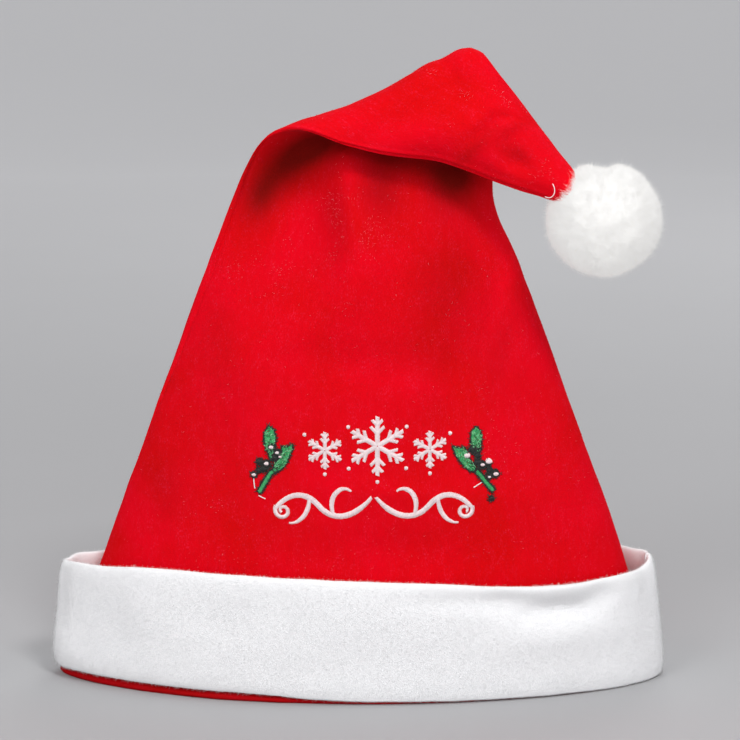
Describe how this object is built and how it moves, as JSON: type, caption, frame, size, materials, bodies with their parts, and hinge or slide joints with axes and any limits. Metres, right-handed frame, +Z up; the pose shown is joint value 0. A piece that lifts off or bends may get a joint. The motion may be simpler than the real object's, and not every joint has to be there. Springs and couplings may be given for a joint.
{
  "type": "santa hat",
  "caption": "Red velour santa hat standing on its turned-up white plush cuff, its tip folded over to the front and ending in a white fur pompom.",
  "frame": {"origin": "on the surface the hat stands on, at the middle of the cuff's footprint", "axes": "+Z up, +X along the long way of the footprint towards the pompom's side, the hat's front with the hanging tip faces -Y"},
  "size_m": [0.2668, 0.098, 0.2724],
  "materials": {
    "crown": "red velour with a short brushed nap",
    "cuff": "white plush with a short dense pile",
    "pompom": "white faux fur"
  },
  "bodies": {
    "root": {"crown": "crown", "cuff": "cuff", "pompom": "pompom"}
  },
  "joints": []
}
